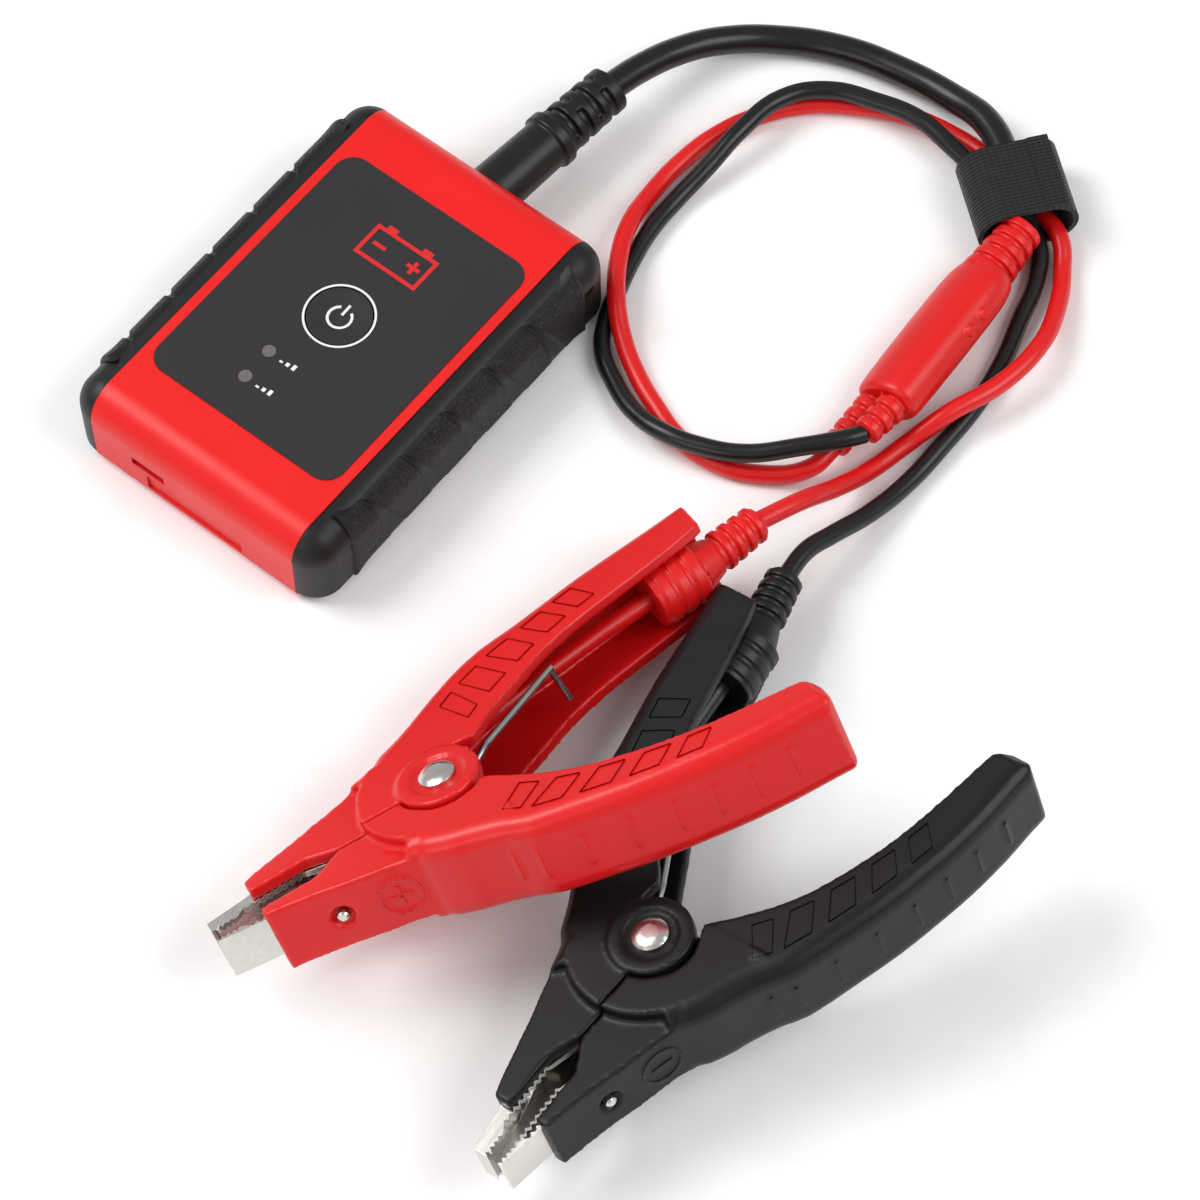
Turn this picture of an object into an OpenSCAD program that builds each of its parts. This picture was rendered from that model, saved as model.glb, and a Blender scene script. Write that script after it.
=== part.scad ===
// Battery tester with a split lead and two spring clamps. Millimetres, +Z up.
// The origin is the centre of the tester's underside, +Y towards its cable.

/* [Tester] */
// width across the side grips, mm
tester_width = 76; // [74:1:78]
// length of the housing, mm
tester_length = 106; // [104:1:108]
// height of the housing, mm
tester_height = 24; // [23.5:0.5:25]
// housing wall, mm
shell_wall = 2.2; // [2:0.1:2.4]
// radius of the round power button, mm
button_radius = 7.65; // [7.3:0.05:7.7]

/* [Cables] */
// diameter of the main cable, mm
cable_diameter = 7; // [6.5:0.1:7]
// diameter of each lead, mm
lead_diameter = 4.4; // [4:0.1:4.4]

/* [Clamps] */
// outer wall of each handle, mm
handle_wall = 2.4; // [2.2:0.1:2.5]
// rounding of the handles' outer edges, mm
handle_round = 4; // [3:0.25:4]
// sheet thickness of the metal jaws, mm
jaw_sheet = 1.2; // [1:0.1:1.4]
// radius of the pivot rivet, mm
rivet_radius = 3; // [2.8:0.05:3]

/* [Hidden] */
$fn = 48;
half_w = tester_width / 2;
half_l = tester_length / 2;
top_z = tester_height;
seam_z = 9;
lip_x = half_w - 8.2;
flange_x = half_w - 4.5;
board_z = 12.8;
board_t = 1.6;
panel_w = 54.5;
panel_l = 72.3;
panel_t = 0.8;
switch_gap = 0.45;
gland_x = 0.5;
gland_z = 12;
gland_turn = -5;
clamp_t = 22;
side_wall = 3;
hub_r = 9.5;
black_at = [158.48, -79.2, 8.5];
black_turn = [2.37, -15.85, -0.23];
red_at = [107.11, -83.18, 17.1];
red_turn = [7.82, -30.78, -25.69];
plastic_red = [0.86, 0.12, 0.1];
plastic_black = [0.12, 0.12, 0.125];
rubber_black = [0.08, 0.08, 0.085];
nickel = [0.75, 0.74, 0.72];
steel = [0.62, 0.62, 0.64];

// fixed handle: outer and inner edge at each station, hub to end
a_outer = [[-15.5, -17.5], [-17.4, -11.2], [-19.8, -8.5], [-22.3, -3.2], [-25, 1.5], [-29.5, 8.5],
           [-33.5, 15.5], [-36.8, 23.5], [-38.5, 34], [-40.5, 43], [-42.3, 51.5], [-43.7, 61],
           [-45, 71], [-46.5, 80]];
a_inner = [[-6, -8.5], [-8, -5], [-9, -2.5], [-9.4, 1], [-8.8, 4], [-7.2, 11.2],
           [-11.5, 16.5], [-17, 26], [-22, 34.5], [-25.5, 44], [-27.5, 52], [-29.5, 61],
           [-31.8, 71], [-34.5, 80]];
// moving handle
b_outer = [[17, -15.2], [17.7, -13], [19.3, -11.6], [22.3, -6.5], [23.4, -3.8], [25, -0.5],
           [27.5, 4], [31, 9], [35, 20], [38.7, 31], [41.3, 41.5], [43.2, 50.5], [44.5, 60.5],
           [45, 70], [45.5, 76]];
b_inner = [[6.5, -8.2], [9, -5], [10.3, -2], [10.4, 1.5], [9.4, 5], [8, 8.2],
           [12.1, 12.3], [17.8, 18.6], [22.8, 25.9], [26.8, 34.6], [30.2, 44], [32.4, 52.7], [34.1, 62],
           [35.5, 71], [36.7, 76]];

// cord routes, one point per ring
main_route = [[4, 93.5, 12], [5.5, 103, 10.5], [9, 115, 8], [14, 124, 6], [24, 134, 4], [37, 141, 3.7],
              [52, 144.5, 4], [67, 145, 5.4], [79, 142.5, 8.3], [91, 134.5, 9.7], [103.6, 123.2, 9.4]];
black_route = [[108.2, 55, 10.7], [105.5, 51, 11], [98.5, 43.6, 10], [89, 35.5, 8], [79, 31, 7.1],
               [70, 29.3, 6.2], [61, 30.5, 4], [52, 34.5, 2.5], [44, 40, 2.4], [39.8, 47, 2.4],
               [36.6, 55.5, 2.4], [34, 64.5, 2.4], [32.4, 73, 2.4], [32, 83, 2.4], [33, 94, 4.6],
               [33.8, 105.5, 7.2], [36, 119, 7.2], [43, 127.5, 7], [54, 132, 7], [65, 134.3, 6.9],
               [74, 133.5, 6], [82.4, 132.5, 4.4], [94.5, 128.7, 3.4], [106.7, 125, 3.4],
               [112, 117, 2.6], [115.4, 106, 2.4], [119, 94, 2.4], [121, 81, 2.4], [121.3, 68, 2.4],
               [121, 55, 2.5], [119.8, 42, 5], [117.6, 30, 9], [116.3, 22, 11.3],
               [116.99, 13.93, 12.06]];
red_route = [[103, 50.5, 5.3], [101.6, 43.4, 4], [93.2, 36, 2.4], [83.2, 32, 2.4], [73.2, 32, 2.4],
             [63, 35.5, 2.4], [54.5, 39.5, 2.6], [46.5, 44.5, 4.4], [39.5, 51, 7], [33.5, 59.5, 7.3],
             [29, 69, 5.8], [26.3, 81, 2.6], [26.3, 92.7, 2.4], [28.5, 104.6, 2.4], [33, 114.6, 2.4],
             [40.5, 124.2, 2.4], [50, 131, 2.4], [60, 135.8, 2.4], [72, 138.2, 2.4], [85.4, 137.4, 3.1],
             [97.5, 133.2, 3.4], [109.8, 129, 4.6], [115.5, 122.5, 3], [121, 112.5, 4.5],
             [124.6, 100, 7.2], [123.5, 86, 7.5], [118.8, 73, 7], [114.8, 62, 3.2], [112.6, 51.5, 3.6],
             [110.8, 41, 8.2], [108.6, 30, 14.6], [105.3, 18.82, 17.28]];
strap_at = [96, 131, 7.3];
strap_turn = -38.5;

// ---- shared shapes ----

function unit(v) = v / norm(v);
function mix(a, b, t) = a + (b - a) * t;
function bend(a, b, c, d, t) =
  0.5 * (2 * b + (c - a) * t + (2 * a - 5 * b + 4 * c - d) * t * t + (3 * b - a - 3 * c + d) * t * t * t);
function smooth(p, n) = [
  for (i = [0 : len(p) - 2]) for (k = [0 : n - 1])
    bend(p[max(i - 1, 0)], p[i], p[i + 1], p[min(i + 2, len(p) - 1)], k / n),
  p[len(p) - 1]];

// closed body from rings of equal point count; cap lists the convex pieces of an end
module loft(rings, cap) {
  n = len(rings[0]);
  m = len(rings);
  ends = cap == undef ? [[for (i = [0 : n - 1]) i]] : cap;
  polyhedron(
    points = [for (r = rings) for (p = r) p],
    faces = concat(
      ends,
      [for (j = [0 : m - 2]) for (i = [0 : n - 1]) [j * n + i, (j + 1) * n + i, (j + 1) * n + (i + 1) % n]],
      [for (j = [0 : m - 2]) for (i = [0 : n - 1]) [j * n + i, (j + 1) * n + (i + 1) % n, j * n + (i + 1) % n]],
      [for (e = ends) [for (i = [len(e) - 1 : -1 : 0]) (m - 1) * n + e[i]]]));
}
channel_cap = [[13, 0, 11, 12], [0, 1, 2, 3, 11], [3, 4, 10, 11], [4, 5, 6, 7, 10], [7, 8, 9, 10]];

function heading(p, i) = unit(p[min(i + 1, len(p) - 1)] - p[max(i - 1, 0)]);
function ring(c, t, r, n) =
  let (s = unit(cross(t, [0, 0, 1])), u = cross(s, t))
  [for (k = [0 : n - 1]) c + r * (cos(360 * k / n) * s + sin(360 * k / n) * u)];

// round cord through the points of a route
module cord(p, r, n) {
  loft([for (i = [0 : len(p) - 1]) ring(p[i], heading(p, i), r, n)]);
}

// straight round bar between two points
module bar(a, b, r, r2) {
  d = b - a;
  translate(a)
    rotate([0, acos(d[2] / norm(d)), atan2(d[1], d[0])])
      cylinder(h = norm(d), r1 = r, r2 = r2 == undef ? r : r2);
}

module block(x0, x1, y0, y1, z0, z1) {
  translate([x0, y0, z0])
    cube([x1 - x0, y1 - y0, z1 - z0]);
}

module plate(w, l, r, z0, z1) {
  translate([0, 0, z0])
    linear_extrude(height = z1 - z0)
      union() {
        square([w - 2 * r, l], center = true);
        square([w, l - 2 * r], center = true);
        for (x = [-1, 1]) for (y = [-1, 1])
          translate([x * (w / 2 - r), y * (l / 2 - r)]) circle(r);
      }
}

module rounded_side(l, h, rt, rb) {
  translate([-l, rb]) square([2 * l, h - rt - rb]);
  translate([-l + rt, rb]) square([2 * l - 2 * rt, h - rb]);
  translate([-l + rb, 0]) square([2 * l - 2 * rb, h - rt]);
  for (s = [-1, 1]) {
    translate([s * (l - rt), h - rt]) circle(rt);
    translate([s * (l - rb), rb]) circle(rb);
  }
}

// slab whose ends roll over at y = +-l
module end_slab(x, l, h, rt, rb) {
  rotate([90, 0, 90])
    linear_extrude(height = 2 * x, center = true)
      rounded_side(l, h, rt, rb);
}

// ---- tester ----

module shell_solid() {
  end_slab(lip_x, half_l, top_z - 0.2, 8, 3);
  block(-flange_x, flange_x, -half_l + 5, half_l - 5, 2.2, top_z - 2.8);
}

module shell_cavity() {
  w = shell_wall;
  block(-lip_x + w, lip_x - w, -half_l + 2.5, half_l - 2.5, w, top_z - 0.8 - w);
  block(-flange_x + w, flange_x - w, -half_l + 7.5, half_l - 7.5, 2.2 + w, top_z - 2.8 - w);
}

module gland_hole() {
  translate([gland_x, half_l + 1, gland_z]) rotate([90, 0, 0]) cylinder(h = 6, r = 6.75);
}

screw_x = 24.5;
screw_ys = [-half_l + 9, half_l - 15];

module boss(r, z0, z1) {
  for (x = [-1, 1]) for (y = screw_ys)
    translate([x * screw_x, y, z0]) cylinder(h = z1 - z0, r = r);
}

module upper_shell() {
  color(plastic_red)
  difference() {
    union() {
      difference() {
        intersection() {
          shell_solid();
          block(-60, 60, -60, 60, seam_z, 40);
        }
        shell_cavity();
      }
      intersection() {
        boss(3, board_z + board_t, top_z - 1);
        block(-60, 60, -60, 60, seam_z, top_z - 2);
      }
    }
    plate(panel_w, panel_l, 5, top_z - panel_t, top_z + 1);
    translate([0, -0.2, 10]) cylinder(h = 20, r = button_radius + 0.35);
    translate([-6.55, -17.15, 10]) cylinder(h = 20, r = 1.6);
    translate([-6.5, -25.5, 10]) cylinder(h = 20, r = 1.6);
    block(-18.1, -8.5, -half_l - 1, -half_l + 4, 10, 12.6);
    gland_hole();
    boss(1.4, board_z, top_z - 5);
  }
}

module lower_shell() {
  color(plastic_red)
  difference() {
    union() {
      difference() {
        intersection() {
          shell_solid();
          block(-60, 60, -60, 60, -1, seam_z);
        }
        shell_cavity();
      }
      boss(3, 1, board_z);
    }
    gland_hole();
    boss(1.4, -1, board_z + 1);
    boss(2.8, -1, 2.5);
    translate([0, -half_l, 0]) block(-14, 14, -0.01, 0.6, 3.5, 8.4);
  }
}

module bumper() {
  difference() {
    intersection() {
      plate(tester_width, tester_length, 10, 0, top_z - 0.6);
      rotate([90, 0, 0])
        linear_extrude(height = 200, center = true)
          rounded_side(half_w, top_z - 0.6, 8, 4);
      end_slab(60, half_l, top_z - 0.6, 8, 3);
      block(lip_x, 60, -60, 60, -1, 40);
    }
    block(0, flange_x, -half_l + 5, half_l - 5, 2.2, top_z - 2.8);
    for (y = [-32 : 16 : 32])
      translate([half_w + 1.4, y, 0]) rotate([16, 0, 0]) cylinder(h = 60, r = 2.4, center = true);
  }
}

module left_bumper() {
  color(rubber_black) mirror([1, 0, 0]) bumper();
}

module right_bumper() {
  color(rubber_black) bumper();
}

module front_overlay() {
  color([0.2, 0.19, 0.2])
  difference() {
    plate(panel_w, panel_l, 5, top_z - panel_t, top_z);
    translate([0, -0.2, 10]) cylinder(h = 20, r = button_radius + 0.35);
    translate([-6.55, -17.15, 10]) cylinder(h = 20, r = 1.6);
    translate([-6.5, -25.5, 10]) cylinder(h = 20, r = 1.6);
  }
}

module power_button() {
  z = top_z - 0.1;
  r = button_radius;
  color([0.2, 0.19, 0.2])
  translate([0, -0.2, 0]) {
    rotate_extrude()
      polygon([[0, z - 4.5], [r, z - 4.5], [r, z], [r - 0.6, z], [r - 3, z - 0.35], [r - 5.5, z - 0.6], [0, z - 0.7]]);
    translate([0, 0, board_z + board_t + 4.3 + switch_gap])
      cylinder(h = top_z - 4 - board_z - board_t - 4.3 - switch_gap, r = 1.6);
  }
}

module status_window() {
  color([0.5, 0.48, 0.47]) translate([-6.55, -17.15, 16]) cylinder(h = top_z - 16, r = 1.6);
}

module power_window() {
  color([0.5, 0.48, 0.47]) translate([-6.5, -25.5, 16]) cylinder(h = top_z - 16, r = 1.6);
}

module circuit_board() {
  color([0.05, 0.35, 0.2])
  difference() {
    block(-lip_x + 3.5, lip_x - 3.5, -half_l + 2.8, half_l - 12.5, board_z, board_z + board_t);
    boss(1.6, board_z - 1, board_z + 3);
  }
}

module tact_switch() {
  z = board_z + board_t;
  color([0.15, 0.15, 0.16]) block(-3, 3, -3.2, 2.8, z, z + 3.5);
  color([0.15, 0.15, 0.16]) translate([0, -0.2, z + 3]) cylinder(h = 1.3, r = 1.7);
}

module indicator_leds() {
  z = board_z + board_t;
  color([0.9, 0.88, 0.8]) block(-7.35, -5.75, -17.6, -16.7, z, z + 0.8);
  color([0.9, 0.88, 0.8]) block(-7.3, -5.7, -25.95, -25.05, z, z + 0.8);
}

module usb_socket() {
  color(steel)
  difference() {
    block(-17, -9.6, -half_l + 2.6, -half_l + 8, board_z - 2.9, board_z);
    block(-16.6, -10, -half_l + 2, -half_l + 7, board_z - 2.5, board_z - 0.4);
  }
  color([0.1, 0.1, 0.1]) block(-15.5, -11.1, -half_l + 3.2, -half_l + 7.2, board_z - 1.7, board_z - 1);
}

module wireless_module() {
  z = board_z + board_t;
  color([0.1, 0.2, 0.4]) block(8, 23, 10, 32, z, z + 0.8);
  color(steel) block(9, 22, 11, 25, z + 0.8, z + 3);
}

module processor_chip() {
  z = board_z + board_t;
  color([0.08, 0.08, 0.08]) block(-18, -8, 12, 22, z + 0.1, z + 1.5);
  color(nickel)
    for (i = [-4.2 : 1.2 : 4.2]) {
      block(-19.2, -17.9, 17 + i - 0.2, 17 + i + 0.2, z, z + 0.5);
      block(-8.1, -6.8, 17 + i - 0.2, 17 + i + 0.2, z, z + 0.5);
    }
}

module load_transistors() {
  for (x = [8, -4]) {
    color([0.08, 0.08, 0.08]) block(x - 5, x + 5, -22, -13, board_z - 4.4, board_z);
    color(nickel) block(x - 5, x + 5, -13, -8, board_z - 1.3, board_z);
  }
}

module cable_terminals() {
  for (x = [-5.5, 6.5])
    color(nickel)
      difference() {
        block(x - 2.5, x + 2.5, 32, 38.5, board_z - 5, board_z);
        translate([x, 45, board_z - 2.5]) rotate([90, 0, 0]) cylinder(h = 10, r = 1.3);
      }
}

module case_screws() {
  color(steel)
  for (x = [-1, 1]) for (y = screw_ys)
    translate([x * screw_x, y, 0]) {
      difference() {
        translate([0, 0, 0.6]) cylinder(h = 1.9, r = 2.6);
        block(-1.7, 1.7, -0.35, 0.35, 0, 1.3);
        block(-0.35, 0.35, -1.7, 1.7, 0, 1.3);
      }
      translate([0, 0, 2.4]) cylinder(h = 16, r = 1.35);
    }
}

module at_gland() {
  translate([gland_x, half_l, gland_z]) rotate([0, 0, gland_turn]) children();
}

module cable_gland() {
  color(rubber_black)
  difference() {
    union() {
      translate([gland_x, half_l, gland_z]) rotate([90, 0, 0]) cylinder(h = 3.5, r = 6.75);
      translate([gland_x, half_l - 2.5, gland_z]) rotate([90, 0, 0]) cylinder(h = 2, r = 7.6);
      at_gland() translate([0, -0.5, 0]) rotate([-90, 0, 0]) cylinder(h = 41, r1 = 6.7, r2 = 5.9);
      at_gland() translate([0, 19, 0]) rotate([-90, 0, 0]) cylinder(h = 3, r = 7.2);
    }
    at_gland() difference() {
      for (i = [0 : 3]) translate([0, 23.5 + i * 4, 0]) rotate([0, 90 * (i % 2), 0])
        for (s = [-1, 1]) block(-12, 12, 0, 1.9, s > 0 ? 1.6 : -12, s > 0 ? 12 : -1.6);
      translate([0, 20, 0]) rotate([-90, 0, 0]) cylinder(h = 24, r = cable_diameter / 2 + 1.2);
    }
    at_gland() translate([0, -1.5, 0]) rotate([-90, 0, 0]) cylinder(h = 50, r = cable_diameter / 2);
    translate([gland_x, half_l + 0.5, gland_z]) rotate([90, 0, 0]) cylinder(h = 12, r = cable_diameter / 2 + 0.15);
  }
}

module cable_tail() {
  color(rubber_black) {
    translate([gland_x, half_l, gland_z]) rotate([90, 0, 0]) cylinder(h = 9.5, r = cable_diameter / 2 - 0.15);
    at_gland() translate([0, -1.2, 0]) rotate([-90, 0, 0]) cylinder(h = 41.7, r = cable_diameter / 2);
  }
  color(plastic_red) bar([-1, half_l - 9, gland_z - 0.5], [-5.5, 38.5, board_z - 2.5], 1.2);
  color(rubber_black) bar([2, half_l - 9, gland_z - 0.5], [6.5, 38.5, board_z - 2.5], 1.2);
}

// ---- cables ----

module main_cable() {
  color(rubber_black) cord(main_route, cable_diameter / 2, 12);
}

module red_lead() {
  color(plastic_red) cord(red_route, lead_diameter / 2, 10);
}

module black_lead() {
  color(rubber_black) cord(black_route, lead_diameter / 2, 10);
}

module splitter_section(k) {
  rotate(-40) union() {
    square([18 * k - 11 * k, 13 * k], center = true);
    for (s = [-1, 1]) translate([s * 3.5 * k, 0]) scale([0.85, 1]) circle(6.5 * k);
  }
}

module lead_splitter() {
  a = [106.2, 65.5, 8];
  b = [104, 109, 8];
  color(plastic_red) difference() {
    union() {
    translate(a) rotate([-90, 0, 2.9]) {
      translate([0, 0, 8]) linear_extrude(height = 30) splitter_section(1);
      translate([0, 0, 37.9]) linear_extrude(height = 3) splitter_section(0.9);
      translate([0, 0, 40.8]) linear_extrude(height = 3) splitter_section(0.78);
      linear_extrude(height = 8.1) splitter_section(0.93);
      rotate(-40) for (z = [29, 35]) for (s = [-1, 1])
        translate([s * 8.6, 0, z]) rotate([90, 0, 0]) cylinder(h = 6, r = 1.8, center = true);
    }
    bar([104, 108, 8.1], [103.7, 121, 9.1], 5.4, 4.7);
    for (i = [0 : 2])
      bar([104 - i * 0.1, 110.5 + i * 3.8, 8.2 + i * 0.28], [104 - i * 0.1, 112.7 + i * 3.8, 8.35 + i * 0.28], 6.2 - i * 0.35);
    bar([103.7, 120.8, 9.1], [103.6, 123.2, 9.4], 4.6, 4.1);
    bar([109, 69, 10.4], [108.2, 55, 10.7], 3.9, 3.2);
    bar([103.4, 69, 5.6], [103, 50.5, 5.3], 3.9, 3.2);
    for (i = [0 : 2]) bar([108.8 - i * 0.15, 63 - i * 3.2, 10.5], [108.7 - i * 0.15, 61.4 - i * 3.2, 10.5], 4.1 - i * 0.15);
    for (i = [0 : 3]) bar([103.3, 63 - i * 3.4, 5.5], [103.2, 61.3 - i * 3.4, 5.5], 4.1 - i * 0.15);
    }
    block(80, 130, 40, 130, -20, 0.1);
  }
}

module strap_section(w, h) {
  union() {
    square([w - h, h], center = true);
    for (s = [-1, 1]) translate([s * (w - h) / 2, 0]) circle(h / 2);
  }
}

module cable_strap() {
  color([0.06, 0.06, 0.065])
  translate(strap_at) rotate([0, 0, strap_turn]) rotate([90, 0, 90])
    translate([0, 0, -10]) {
      linear_extrude(height = 20) difference() {
        strap_section(24.4, 14.5);
        strap_section(22, 12.1);
      }
      linear_extrude(height = 20) translate([7, 7]) square([5, 1.2], center = true);
    }
}

// ---- clamps: pivot at the origin, handles +Y, jaws -Y, faces at z = 0 and clamp_t ----

module on_red() {
  translate(red_at) rotate(red_turn) children();
}

module on_black() {
  translate(black_at) rotate(black_turn) children();
}

function channel(o, q) =
  let (u = unit(q - o), w = norm(q - o), r = handle_round, t = clamp_t, s = side_wall)
  [for (k = [[r, 0], [r * 0.5, r * 0.134], [r * 0.134, r * 0.5], [0, r], [0, t - r], [r * 0.134, t - r * 0.5],
             [r * 0.5, t - r * 0.134], [r, t], [w, t], [w, t - s], [handle_wall, t - s], [handle_wall, s], [w, s], [w, 0]])
    [o[0] + u[0] * k[0], o[1] + u[1] * k[0], k[1]]];

function full(o, q) =
  let (u = unit(q - o), w = norm(q - o), r = handle_round, t = clamp_t)
  [for (k = [[r, 0], [r * 0.5, r * 0.134], [r * 0.134, r * 0.5], [0, r], [0, t - r], [r * 0.134, t - r * 0.5],
             [r * 0.5, t - r * 0.134], [r, t], [w, t], [w, 0]])
    [o[0] + u[0] * k[0], o[1] + u[1] * k[0], k[1]]];

module emboss(o, q, i0, i1) {
  for (z = [-0.3, clamp_t - 0.4]) translate([0, 0, z]) linear_extrude(height = 0.7)
    for (i = [i0 : i1]) polygon([mix(o[i], q[i], 0.32), mix(mix(o[i], q[i], 0.78), mix(o[i + 1], q[i + 1], 0.78), 0.45),
      mix(mix(o[i], q[i], 0.78), mix(o[i + 1], q[i + 1], 0.78), 0.9), mix(mix(o[i], q[i], 0.32), mix(o[i + 1], q[i + 1], 0.32), 0.5)]);
}

module hub_space(r) {
  translate([0, 0, side_wall]) cylinder(h = clamp_t - 2 * side_wall, r = r);
}

module fixed_handle() {
  difference() {
    union() {
      loft([for (i = [0 : 2 * len(a_outer) - 2]) channel(smooth(a_outer, 2)[i], smooth(a_inner, 2)[i])],
           channel_cap);
      difference() {
        union() {
          translate([0, 0, 3]) linear_extrude(height = 16)
            polygon([[-6.5, -46.5], [-8.3, -41.7], [-11, -31.3], [-14.3, -20.5], [-16.2, -14.5], [-12, -8],
                     [1, -8], [1, -13], [0.3, -26], [-2.5, -33], [-2.5, -46.5]]);
          linear_extrude(height = clamp_t) intersection() {
            circle(19);
            polygon([[-12, -28], [-14.3, -20.5], [-16.4, -14], [-14, -6], [-4, -6], [1, -8], [1, -13], [0.5, -28]]);
          }
        }
        hub_space(hub_r + 0.3);
        translate([0, 0, 6]) linear_extrude(height = 10)
          polygon([[-4, -57.5], [-5.2, -48], [-8, -38], [-12, -22], [-14, -15], [5, -15], [5, -57.5]]);
        bar([-18.5, -2.5, 11], [-7.5, -21.5, 11], 2.8);
      }
      for (z = [0, clamp_t - side_wall]) translate([0, 0, z]) cylinder(h = side_wall, r = hub_r);
      for (z = [-0.8, clamp_t - 0.2]) translate([0, 0, z])
        difference() {
          cylinder(h = 1, r = hub_r);
          translate([0, 0, -1]) cylinder(h = 3, r = 6.3);
        }
      emboss(a_outer, a_inner, 5, 8);
    }
    translate([0, 0, -2]) cylinder(h = clamp_t + 4, r = rivet_radius);
    bar([-19.6, -0.6, 11], [-8.5, -19.8, 11], 2.55);
    bar([-13.8, -33.2, 11], [-10.3, -31.9, 11], 2.6);
    bar([-14, -33, 11], [-5, -30, 11], 1.4);
  }
}

module moving_handle(sign) {
  difference() {
    union() {
      loft([for (i = [2 * len(b_outer) - 2 : -1 : 0]) channel(smooth(b_outer, 2)[i], smooth(b_inner, 2)[i])],
           channel_cap);
      loft([full(b_outer[14], b_inner[14]), full(mix(b_outer[13], b_outer[14], 0.6), mix(b_inner[13], b_inner[14], 0.6))]);
      difference() {
        union() {
          translate([0, 0, 3]) linear_extrude(height = 16)
            polygon([[8, -46.5], [9, -41.6], [11, -34.1], [13.4, -26.8], [15.6, -18.8], [17.2, -14.5], [12, -8],
                     [1.4, -8], [1.4, -13], [0.7, -26], [4.9, -33], [4.9, -46.5]]);
          linear_extrude(height = clamp_t) intersection() {
            circle(19);
            polygon([[13, -28], [15.6, -18.8], [17.4, -14], [14, -6], [6, -6], [1.4, -8], [1.4, -13], [0.9, -28]]);
          }
        }
        hub_space(hub_r + 0.3);
        translate([0, 0, 6]) linear_extrude(height = 10)
          polygon([[3.6, -57.5], [5.6, -46.5], [9, -34], [12, -22], [13.5, -16], [-3, -16], [-3, -57.5]]);
      }
      for (z = [3.3, clamp_t - 6.3]) translate([0, 0, z]) linear_extrude(height = 3) union() {
        circle(hub_r - 0.5);
        polygon([[2, -8.5], [2, -12], [14, -14], [19, -8], [21, -1], [14, 7], [6, 6.5]]);
      }
      for (z = [2, clamp_t - 4]) translate([0, 0, z]) linear_extrude(height = 2)
        polygon([[8, -10], [14, -14], [20, -8], [21, -1], [14, 6.5], [9.6, 5], [10.4, 0]]);
      emboss(b_outer, b_inner, 6, 10);
      for (i = [6 : 0.9 : 13]) let (p = mix(b_outer[floor(i)], b_outer[floor(i) + 1], i - floor(i)))
        translate([p[0] - 0.1, p[1], 7.2]) cylinder(h = 7.6, r = 0.55, $fn = 16);
      translate([15.1, -19.5, 11]) rotate([0, 90, -17]) {
        difference() {
          translate([0, 0, -0.6]) cylinder(h = 1.2, r = 5.2);
          translate([0, 0, -1]) cylinder(h = 3, r = 4.2);
        }
        cube([0.9, 5, 1.1], center = true);
        if (sign > 0) cube([5, 0.9, 1.1], center = true);
      }
    }
    translate([0, 0, -2]) cylinder(h = clamp_t + 4, r = rivet_radius + 0.05);
    for (z = [-2, clamp_t - 3.3]) translate([0, 0, z]) cylinder(h = 5.3, r = hub_r + 0.45);
    bar([14.4, -33.1, 11], [10.5, -31.8, 11], 2.6);
    bar([14, -33, 11], [5, -30, 11], 1.4);
  }
}

// toothed edge of a jaw: from a to b, n teeth, depth d towards +x when positive
function teeth(a, b, n, d) = [for (i = [0 : n - 1]) each [mix(a, b, i / n), mix(a, b, (i + 0.5) / n) + [d, 0]], b];

module jaw_sides(edge, back, floor_line) {
  difference() {
    linear_extrude(height = 10) polygon(concat(edge, back));
    translate([0, 0, jaw_sheet]) linear_extrude(height = 10 - 2 * jaw_sheet) polygon(floor_line);
  }
}

module fixed_jaw() {
  t = jaw_sheet;
  difference() {
    translate([0, 0, 6])
      jaw_sides(concat(teeth([-0.15, -57.5], [-0.5, -52], 4, -0.9), teeth([-1.7, -50], [-2.3, -34], 9, -0.9),
                       [[-0.3, -27], [-0.3, -17]]),
                [[-13.4, -17], [-12, -22], [-8, -38], [-5.2, -48], [-4, -57.5]],
                [[-4 + t, -57.5 + t], [-5.2 + t, -48], [-8 + t, -38], [-12 + t, -22], [-12.8 + t, -16], [5, -16],
                 [5, -57.5 + t]]);
    bar([-14, -33, 11], [-5, -30, 11], 1.4);
  }
}

module moving_jaw() {
  t = jaw_sheet;
  difference() {
    translate([0, 0, 6])
      jaw_sides(concat(teeth([2.7, -57.5], [2.9, -52], 4, 0.9), teeth([4.1, -50], [4.7, -34], 9, 0.9),
                       [[2.2, -27], [2.2, -18]]),
                [[13, -18], [12, -22], [9, -34], [5.6, -46.5], [3.8, -57.5]],
                [[3.8 - t + 0.6, -57.5 + t], [5.6 - t, -46.5], [9 - t, -34], [12 - t, -22], [13 - t, -17], [-3, -17],
                 [-3, -57.5 + t]]);
    bar([14, -33, 11], [5, -30, 11], 1.4);
  }
}

module jaw_rivet(s) {
  bar([s * 11.4, -32.1, 11], [s * 6.2, -30.4, 11], 1.33);
  if (s > 0) bar([12, -32.33, 11], [10.7, -31.9, 11], 2.1);
  if (s < 0) bar([-11.6, -32.2, 11], [-10.5, -31.84, 11], 2.1);
}

module pivot_rivet() {
  cylinder(h = clamp_t, r = rivet_radius);
  for (s = [0, 1]) translate([0, 0, s * clamp_t]) mirror([0, 0, 1 - s]) {
    cylinder(h = 0.9, r = 4.1);
    translate([0, 0, 0.9]) cylinder(h = 0.6, r1 = 4.1, r2 = 3.2);
    translate([0, 0, 1.5]) cylinder(h = 0.4, r1 = 3.2, r2 = 1.6);
  }
}

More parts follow.
